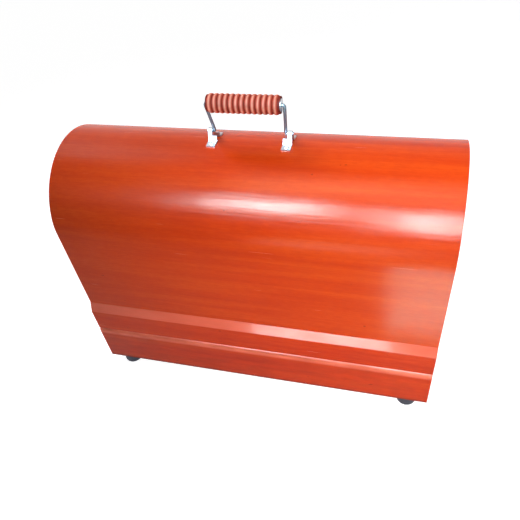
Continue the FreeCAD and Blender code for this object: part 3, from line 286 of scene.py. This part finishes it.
def red_varnish(name, grain, dark, mid, light, shift=0.0, rough=(0.2, 0.27), gloss=0.11):
    """Red-brown stained wood under gloss varnish, its grain and brush strokes along one axis."""
    material = bpy.data.materials.new(name)
    tree, shader = wire_up(material)
    wood = stained_wood(tree, grain, dark, mid, light, shift)
    tree.links.new(knocked_about(tree, wood, grain, dark, light, shift), shader.inputs["Base Color"])
    smears = noise(tree, mapped(tree, (1.5, 6, 6)), 7.0, detail=4)
    tree.links.new(spread(tree, smears, 0.3, 0.7, *rough), shader.inputs["Roughness"])
    shader.inputs["Specular IOR Level"].default_value = gloss
    shader.inputs["Specular Tint"].default_value = VARNISH_TINT
    # brush strokes, a fine orange peel and shallow dents, added up into one relief
    strokes = noise(tree, mapped(tree, along_grain(grain, 1.5, 33), (2, shift, 3)), 6.0, detail=5, rough=0.6)
    peel = noise(tree, mapped(tree, (1, 1.6, 1.6), (shift, 4, 1)), 260.0, detail=3, rough=0.6)
    dents = noise(tree, mapped(tree, (1, 1.4, 1.4), (shift, 9, 6)), 13.0, detail=2)
    relief = reckon(tree, "MULTIPLY_ADD", peel, 0.16, strokes)
    relief = reckon(tree, "MULTIPLY_ADD", dents, 3.2, relief)
    bump(tree, shader, relief, 0.4, 0.0006)
    return material


def dress(name, material, eased_edge=None):
    """Puts a finish on a CAD piece and, where a width is given, takes the sharpness off its edges."""
    piece = nodes[name]
    piece.data.materials.clear()
    piece.data.materials.append(material)
    if eased_edge:
        rounding = piece.modifiers.new("soft_edges", "BEVEL")
        rounding.width = eased_edge
        rounding.segments = 2
        rounding.limit_method = "ANGLE"
        rounding.angle_limit = math.radians(40)
        rounding.harden_normals = False


def overlay(tree, shader, factor, colour):
    """Lays a second colour over whatever already colours the wood."""
    below = shader.inputs["Base Color"].links[0].from_socket
    tree.links.new(blend(tree, factor, below, colour), shader.inputs["Base Color"])


BARE_DARK, BARE_MID, BARE_LIGHT = (0.26, 0.105, 0.04), (0.4, 0.19, 0.08), (0.5, 0.26, 0.12)
BARE_ROUGHNESS = 0.7  # varnished faces are far smoother


def leave_bare(material, inside, grain):
    """Leaves the faces inside the case as plain wood, wiped with stain but not varnished."""
    tree = material.node_tree
    shader = tree.nodes["Principled BSDF"]
    fibre = noise(tree, mapped(tree, along_grain(grain, 1, 22), (1, 2, 3)), 9.0, detail=6, rough=0.6,
                  distortion=0.8)
    overlay(tree, shader, inside, ramp(tree, fibre, [(0.3, BARE_DARK), (0.55, BARE_MID), (0.8, BARE_LIGHT)]))
    polish = shader.inputs["Roughness"].links[0].from_socket
    duller = reckon(tree, "MAXIMUM", polish, spread(tree, inside, 0.0, 1.0, 0.0, BARE_ROUGHNESS))
    tree.links.new(duller, shader.inputs["Roughness"])


def split_place(tree, shift=(0, 0, 0)):
    """The three distances from the frame's origin, one socket each."""
    parts = tree.nodes.new("ShaderNodeSeparateXYZ")
    tree.links.new(mapped(tree, (1, 1, 1), shift), parts.inputs["Vector"])
    return parts.outputs


SHEET_FADE = 0.0005


def under_the_crown(tree, centre_height, radius):
    """1 nearer to the middle of the case than the given radius, with upright walls below the centre."""
    parts = split_place(tree, (0, 0, -centre_height))
    across = tree.nodes.new("ShaderNodeCombineXYZ")
    tree.links.new(parts["Y"], across.inputs["Y"])
    tree.links.new(reckon(tree, "MAXIMUM", parts["Z"], 0.0), across.inputs["Z"])
    reach = tree.nodes.new("ShaderNodeVectorMath")
    reach.operation = "LENGTH"
    tree.links.new(across.outputs["Vector"], reach.inputs[0])
    return spread(tree, reach.outputs["Value"], radius, radius + SHEET_FADE, 1.0, 0.0)


CROWN_CENTRE_HEIGHT, MID_SHEET_RADIUS = 0.2558, 0.0983
shell_finish = red_varnish("shell_varnish", "x", (0.52, 0.033, 0.002), (0.6, 0.047, 0.003),
                           (0.68, 0.074, 0.006))
shell_inside = under_the_crown(shell_finish.node_tree, CROWN_CENTRE_HEIGHT, MID_SHEET_RADIUS)
leave_bare(shell_finish, shell_inside, "x")
dress("cover_shell", shell_finish)


# End boards of the cover
# Solid boards cut to the arch and nailed inside the shell's ends, their grain lying level.
# The same varnish is darker here, and duller from knocks and from carrying.
END_ROUGHNESS, END_GLOSS = (0.3, 0.4), 0.03
end_finish = red_varnish("end_board_varnish", "y", (0.4, 0.018, 0.002), (0.52, 0.032, 0.003),
                         (0.6, 0.05, 0.005), shift=4.2, rough=END_ROUGHNESS, gloss=END_GLOSS)


BOARD_FADE = 0.0004


def inner_face(tree, axis, limit):
    """1 on the side of a board that faces the middle of the case, nearer to it than the limit."""
    away = reckon(tree, "ABSOLUTE", split_place(tree)[axis])
    return spread(tree, away, limit, limit + BOARD_FADE, 1.0, 0.0)


END_BOARD_INSIDE = 0.2421
leave_bare(end_finish, inner_face(end_finish.node_tree, "X", END_BOARD_INSIDE), "y")
dress("cover_left_end", end_finish)
dress("cover_right_end", end_finish)


# Bevelled bands
# Two planed boards nailed along the front and the back of the cover's lower edge. Their flat
# face is varnished like the walls; the bevel on top has a painted highlight, in patches, under a smoother coat.
def patchy_strip(tree, low, full, strength):
    """0 below one height and up to the given strength above another, broken up in patches."""
    climb = spread(tree, split_place(tree)["Z"], low, full, 0.0, strength)
    patchy = spread(tree, noise(tree, mapped(tree, (1, 3, 3)), 22.0, detail=5), 0.3, 0.6, 0.75, 1.0)
    return reckon(tree, "MULTIPLY", climb, patchy)


def gloss_coat(tree, shader, where, weight, roughness):
    """A second, clearer coat of varnish where the factor is above 0."""
    tree.links.new(spread(tree, where, 0.0, 1.0, 0.0, weight), shader.inputs["Coat Weight"])
    shader.inputs["Coat Roughness"].default_value = roughness


BEVEL_FROM, BEVEL_TO, BEVEL_HIGHLIGHT_PALE = 0.1202, 0.121, (0.86, 0.15, 0.07)
RAIL_DARK, RAIL_MID, RAIL_LIGHT = (0.5, 0.025, 0.002), (0.6, 0.038, 0.003), (0.66, 0.058, 0.005)
band_finish = red_varnish("band_varnish", "x", RAIL_DARK, RAIL_MID, RAIL_LIGHT, shift=8.1)
tree = band_finish.node_tree
shader = tree.nodes["Principled BSDF"]
# painted highlight: the bevel face is painted paler, in patches, where light catches it
bevel_highlight = patchy_strip(tree, BEVEL_FROM, BEVEL_TO, strength=1.0)
overlay(tree, shader, spread(tree, bevel_highlight, 0.0, 1.0, 0.0, 0.75), BEVEL_HIGHLIGHT_PALE)
gloss_coat(tree, shader, bevel_highlight, weight=0.6, roughness=0.13)
shader.inputs["Coat IOR"].default_value = 1.6
dress("cover_front_moulding", band_finish)
dress("cover_back_moulding", band_finish)


# Base box
# Low softwood box, rails lapped over the end boards, stained and varnished like the cover. Its
# rounded top edge carries a painted highlight, in patches, and its lower edge is painted dark as shade.
BASE_EDGE = 0.0006
rail_finish = red_varnish("base_varnish", "x", RAIL_DARK, RAIL_MID, RAIL_LIGHT, shift=12.7)
base_end_finish = red_varnish("base_end_varnish", "y", (0.36, 0.016, 0.002), (0.48, 0.028, 0.003),
                              (0.56, 0.045, 0.005), shift=17.3, rough=END_ROUGHNESS, gloss=END_GLOSS)
HIGHLIGHT_FROM, HIGHLIGHT_TO, TOP_EDGE_HIGHLIGHT = 0.0722, 0.0765, (0.92, 0.22, 0.12)
SHADE_BELOW, UNSHADED_ABOVE, LOWER_EDGE_SHADE = 0.0185, 0.0235, (0.12, 0.012, 0.004)
tree = rail_finish.node_tree
shader = tree.nodes["Principled BSDF"]
# painted highlight: a paler strip along the rails' rounded top edge, broken into patches
top_edge_highlight = patchy_strip(tree, HIGHLIGHT_FROM, HIGHLIGHT_TO, strength=0.8)
overlay(tree, shader, top_edge_highlight, TOP_EDGE_HIGHLIGHT)
gloss_coat(tree, shader, top_edge_highlight, weight=0.06, roughness=0.3)
# painted shade: the bottom of the rails is painted dark along the lower edge
above_the_shade = patchy_strip(tree, SHADE_BELOW, UNSHADED_ABOVE, strength=1.0)
overlay(tree, shader, spread(tree, above_the_shade, 0.0, 1.0, 0.8, 0.0), LOWER_EDGE_SHADE)
RAIL_INSIDE, BASE_END_INSIDE = 0.0876, 0.2401
leave_bare(rail_finish, inner_face(rail_finish.node_tree, "Y", RAIL_INSIDE), "x")
leave_bare(base_end_finish, inner_face(base_end_finish.node_tree, "X", BASE_END_INSIDE), "y")
dress("base_front_rail", rail_finish, BASE_EDGE)
dress("base_back_rail", rail_finish, BASE_EDGE)
dress("base_left_end", base_end_finish, BASE_EDGE)
dress("base_right_end", base_end_finish, BASE_EDGE)


# Bare inner wood
# Floor panel, divider, glue blocks, battens, the handle's block and the compartment's lid
# are pine and beech, wiped once with thin stain and never varnished.
def inner_wood(name, grain, dark, light, shift=0.0):
    """Plain wood with broad year rings and fine fibres along one axis."""
    material = bpy.data.materials.new(name)
    tree, shader = wire_up(material)
    rings = noise(tree, mapped(tree, along_grain(grain, 1, 22), (shift, 0.3 * shift, shift)), 7.0, detail=7,
                  rough=0.6, distortion=1.2)
    fibre = noise(tree, mapped(tree, along_grain(grain, 4, 88)), 30.0, detail=2)
    colour = ramp(tree, rings, [(0.3, dark), (0.6, light), (0.8, tint(light, 1.15))])
    colour = blend(tree, spread(tree, fibre, 0.45, 0.7, 0.0, 0.3), colour, dark)
    tree.links.new(colour, shader.inputs["Base Color"])
    tree.links.new(spread(tree, rings, 0.3, 0.7, 0.55, 0.75), shader.inputs["Roughness"])
    bump(tree, shader, fibre, 0.3, 0.0004)
    return material


PINE_DARK, PINE_LIGHT = (0.24, 0.095, 0.035), (0.42, 0.2, 0.085)
pine = inner_wood("stained_pine", "x", PINE_DARK, PINE_LIGHT)
pine_across = inner_wood("stained_pine_across", "y", PINE_DARK, PINE_LIGHT, shift=5.0)
beech = inner_wood("lid_beech", "y", (0.3, 0.13, 0.05), (0.48, 0.25, 0.11), shift=9.0)
for name, wood, eased_edge in (
        ("base_floor", pine, None), ("base_divider", pine_across, 0.0005),
        ("base_bed_blocks", pine_across, 0.0008), ("cover_front_batten", pine, 0.0005),
        ("cover_back_batten", pine, 0.0005), ("cover_handle_block", pine, 0.0008),
        ("compartment_lid", beech, 0.0006)):
    dress(name, wood, eased_edge)


# Rubber feet
# Four round moulded bumpers, dark and a little bloomed with age, screwed up into the rails.
# Their skin is finely pitted.
rubber = bpy.data.materials.new("foot_rubber")
tree, shader = wire_up(rubber)
bloom = noise(tree, mapped(tree, (1, 1, 1)), 90.0, detail=4)
tree.links.new(ramp(tree, bloom, [(0.35, (0.022, 0.018, 0.026)), (0.7, (0.055, 0.048, 0.062))]),
               shader.inputs["Base Color"])
tree.links.new(spread(tree, bloom, 0.3, 0.7, 0.5, 0.75), shader.inputs["Roughness"])
shader.inputs["Specular IOR Level"].default_value = 0.25
bump(tree, shader, noise(tree, mapped(tree, (1, 1, 1)), 700.0, detail=2), 0.2, 0.0003)
for foot in ("foot_front_left", "foot_back_left", "foot_front_right", "foot_back_right"):
    dress(foot, rubber)


# Dull steel ironwork
# Screws, hinge leaves, plates, hook, lock case and bolt: plain mild steel, greyed and
# spotted by damp, screwed to the wood and hidden while the case is closed.
def metal(name, colour, rough, spots, spot_colour, grain=(1, 1, 1)):
    """Drawn, rolled or turned metal, cloudy and with small spots of tarnish."""
    material = bpy.data.materials.new(name)
    tree, shader = wire_up(material)
    patches = noise(tree, mapped(tree, grain), 55.0, detail=5, rough=0.6)
    tone = ramp(tree, patches, [(0.3, tint(colour, 0.82)), (0.7, colour)])
    specks = noise(tree, mapped(tree, (1, 1, 1), (2, 3, 4)), 240.0, detail=2)
    tone = blend(tree, spread(tree, specks, 0.66, 0.76, 0.0, spots), tone, spot_colour)
    tree.links.new(tone, shader.inputs["Base Color"])
    shader.inputs["Metallic"].default_value = 1.0
    tree.links.new(spread(tree, patches, 0.3, 0.7, *rough), shader.inputs["Roughness"])
    bump(tree, shader, patches, 0.08, 0.0002)
    return material


steel = metal("dull_steel", (0.42, 0.41, 0.4), rough=(0.35, 0.55), spots=0.5, spot_colour=(0.14, 0.09, 0.06))
for name in ("foot_screws", "base_tongue_plate", "base_tongue", "base_hook_plate", "base_lock_hook",
             "bed_hinge_leaves", "bed_hinge_axles", "bed_hinge_screws", "cover_receiver_plate", "lock_case",
             "lock_bolt", "bed_stud_left", "bed_stud_right"):
    dress(name, steel)


# Brass trim
# Lid pins, keyhole liner and the small countersunk screws are turned brass gone brown.
# The liner is pressed into the end board round the keyhole.
brass = metal("aged_brass", (0.66, 0.45, 0.18), rough=(0.3, 0.5), spots=0.5, spot_colour=(0.2, 0.12, 0.05))
for name in ("lid_pivot_pins", "keyhole_liner", "lock_screws", "cover_receiver_screws", "base_plate_screws"):
    dress(name, brass)


# Handle straps and grip washers
# Two bright nickel-plated strips, bent over the wire and screwed down fore and aft, and two
# washers of the same plate that close the ends of the grip.
nickel = metal("nickel_plate", (0.56, 0.56, 0.58), rough=(0.26, 0.42), spots=0.45,
               spot_colour=(0.2, 0.17, 0.15))
PLATE_EDGE = 0.0003
for name in ("handle_strap_left", "handle_strap_right", "handle_grip_washers"):
    dress(name, nickel, PLATE_EDGE)


# Strap screws
# Four nickel-plated round-head wood screws through the feet of the straps into the block under
# the crown. Their sawn slots have stopped at any angle.
HEAD_RADIUS, HEAD_HEIGHT, SLOT_WIDTH, SLOT_DEPTH = 0.0034, 0.0021, 0.0009, 0.0011
SHANK_RADIUS, SHANK_LENGTH = 0.0016, 0.012
RIM_SHARE, DOME_FOOT_SHARE = 0.12, 0.15  # heights of the rim and of the dome's foot, of the head's height
TAPER_SHARE, POINT_SHARE = 0.6, 0.3  # where the shank starts to taper, and the width of its point
HEAD_STEPS, SLOT_MARGIN = 12, 1.5
MOST_TURN = 1.2
SCREW_X, SCREW_Y, CROWN_RADIUS, STRAP_THICKNESS = 0.0473, 0.0125, 0.102, 0.0015


def slotted_screw(build, foot, out, across):
    """Adds a round-headed wood screw: a domed head with a sawn slot, and a tapered shank below."""
    out = out.normalized()
    across = (across - out * across.dot(out)).normalized()
    along = out.cross(across)
    ball = (HEAD_RADIUS ** 2 + HEAD_HEIGHT ** 2) / (2 * HEAD_HEIGHT)
    slot_edge = SLOT_WIDTH / 2 / HEAD_RADIUS
    # lanes along the slot, from one side of the head to the other, and whether each is sunk;
    # both walls of the slot are two lanes in one place, one high and one sunk
    lanes = [(i / HEAD_STEPS, False) for i in range(-HEAD_STEPS, HEAD_STEPS + 1)]
    lanes = ([lane for lane in lanes if lane[0] < -SLOT_MARGIN * slot_edge]
             + [(-slot_edge, False), (-slot_edge, True), (slot_edge, True), (slot_edge, False)]
             + [lane for lane in lanes if lane[0] > SLOT_MARGIN * slot_edge])
    rows = []
    for b, sunk in lanes:
        row = []
        for i in range(-HEAD_STEPS, HEAD_STEPS + 1):
            a = i / HEAD_STEPS
            u = HEAD_RADIUS * a * math.sqrt(1 - b * b / 2)
            v = HEAD_RADIUS * b * math.sqrt(1 - a * a / 2)
            rise = math.sqrt(max(ball ** 2 - u * u - v * v, 0)) - (ball - HEAD_HEIGHT)
            on_dome = abs(a) < 1 and abs(b) < 1
            rise = max(rise, DOME_FOOT_SHARE * HEAD_HEIGHT) if on_dome else RIM_SHARE * HEAD_HEIGHT
            if sunk:
                rise = min(rise, HEAD_HEIGHT - SLOT_DEPTH)
            row.append(build.verts.new(foot + along * u + across * v + out * rise))
        rows.append(row)
    for lower, upper in zip(rows, rows[1:]):
        for i in range(2 * HEAD_STEPS):
            build.faces.new((lower[i], lower[i + 1], upper[i + 1], upper[i]))
    # down the head's rim, in under it, along the shank and down its point
    rim = rows[0][:-1] + [row[-1] for row in rows[:-1]] + rows[-1][:0:-1] + [row[0] for row in rows[:0:-1]]
    for radius, depth in ((HEAD_RADIUS, 0.0), (SHANK_RADIUS, 0.0), (SHANK_RADIUS, -TAPER_SHARE * SHANK_LENGTH),
                          (POINT_SHARE * SHANK_RADIUS, -SHANK_LENGTH)):
        ring = []
        for vertex in rim:
            flat = vertex.co - foot
            flat -= out * flat.dot(out)
            ring.append(build.verts.new(foot + flat.normalized() * radius + out * depth))
        for i in range(len(rim)):
            j = (i + 1) % len(rim)
            build.faces.new((rim[i], ring[i], ring[j], rim[j]))
        rim = ring
    build.faces.new(rim)


turns = random.Random(3)
build = bmesh.new()
for x in (-SCREW_X, SCREW_X):
    for side in (-1, 1):
        lean = math.asin(side * SCREW_Y / CROWN_RADIUS)
        out = Vector((0, math.sin(lean), math.cos(lean)))
        foot = Vector((x, 0, CROWN_CENTRE_HEIGHT)) + out * (CROWN_RADIUS + STRAP_THICKNESS)
        slot_turn = turns.uniform(-MOST_TURN, MOST_TURN)
        slotted_screw(build, foot, out, Vector((math.sin(slot_turn), math.cos(slot_turn), 0)))
bmesh.ops.recalc_face_normals(build, faces=build.faces)
screw_mesh = bpy.data.meshes.new("strap_screws_slotted")
build.to_mesh(screw_mesh)
build.free()
screw_mesh.materials.append(nickel)
strap_screws = bpy.data.objects.new("strap_screws_slotted", screw_mesh)
scene.collection.objects.link(strap_screws)
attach(strap_screws, "cover")
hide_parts("handle_strap_screws")


# Wire bail
# Drawn steel wire, grey and slightly bluish. It runs through the grip, and its ends are turned
# outwards through the straps.
wire = metal("drawn_wire", (0.17, 0.2, 0.23), rough=(0.34, 0.46), spots=0.4,
             spot_colour=(0.08, 0.07, 0.07), grain=(6, 6, 1))
dress("handle_bail", wire)


# Ribbed grip
# A turned beech grip with thirteen rounded ribs, stained like the case; the grooves are painted
# dark as shade and the crests pale as a highlight.
GRIP_LOW, GRIP_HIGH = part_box("handle_grip")
GRIP_MIDDLE = (Vector(GRIP_LOW) + Vector(GRIP_HIGH)) / 2
GROOVE_RADIUS, CREST_RADIUS = 0.0094, 0.011
GROOVE_SHADE, RIB_FLANK_SHADE = (0.12, 0.012, 0.006), (0.4, 0.045, 0.022)
RIB_STAIN, CREST_HIGHLIGHT = (0.6, 0.1, 0.05), (0.85, 0.4, 0.28)
HAND_GRIME = (0.4, 0.05, 0.02)
grip_finish = bpy.data.materials.new("grip_varnish")
tree, shader = wire_up(grip_finish)
centred = mapped(tree, (0, 1, 1), (0, -GRIP_MIDDLE.y, -GRIP_MIDDLE.z))
distance = tree.nodes.new("ShaderNodeVectorMath")
distance.operation = "LENGTH"
tree.links.new(centred, distance.inputs[0])
# painted light and shade: dark in the grooves, pale on the crests, by distance from the grip's axis
crest = spread(tree, distance.outputs["Value"], GROOVE_RADIUS, CREST_RADIUS, 0.0, 1.0)
turned = ramp(tree, crest, [(0.0, GROOVE_SHADE), (0.4, RIB_FLANK_SHADE), (0.8, RIB_STAIN), (1.0, CREST_HIGHLIGHT)])
handled = noise(tree, mapped(tree, (1, 1, 1)), 60.0, detail=2)
turned = blend(tree, spread(tree, handled, 0.5, 0.75, 0.0, 0.3), turned, HAND_GRIME)
tree.links.new(turned, shader.inputs["Base Color"])
shader.inputs["Roughness"].default_value = 0.6
shader.inputs["Specular IOR Level"].default_value = 0.06
dress("handle_grip", grip_finish)
